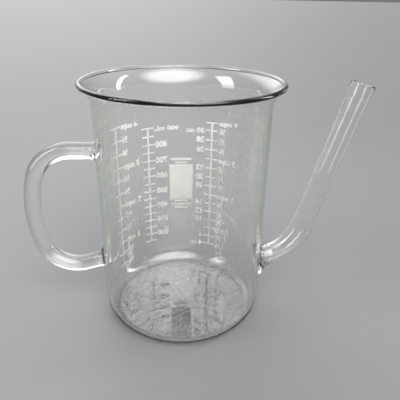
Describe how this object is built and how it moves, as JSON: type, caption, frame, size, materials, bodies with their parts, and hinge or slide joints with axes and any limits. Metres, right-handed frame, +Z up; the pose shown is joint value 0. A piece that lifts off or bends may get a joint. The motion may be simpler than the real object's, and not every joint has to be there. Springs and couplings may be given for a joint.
{
  "type": "measuring beaker with handle and side spout",
  "caption": "Clear glass measuring beaker with a flared rim, a bent rod handle, a tall side spout that draws from low in the wall, and white fired scales.",
  "frame": {"origin": "centre of the flat base, on the surface that the beaker stands on", "axes": "+Z up along the body's axis, +X towards the side spout, -X towards the handle, +Y towards the side that carries the fired scales"},
  "size_m": [0.214, 0.1192, 0.1562],
  "materials": {
    "clear_glass": "clear, fire polished",
    "seal_glass": "clear, worked in the flame, slightly rippled",
    "white_enamel": "fired enamel, satin"
  },
  "bodies": {
    "root": {"beaker_body": "clear_glass", "handle_rod": "clear_glass", "upper_handle_seal": "seal_glass", "lower_handle_seal": "seal_glass", "spout_tube": "clear_glass", "spout_seal": "seal_glass", "millilitre_scale": "white_enamel", "ounce_scale": "white_enamel", "thirds_cup_scale": "white_enamel", "write_on_patch": "white_enamel", "patch_rules": "white_enamel"}
  },
  "joints": []
}
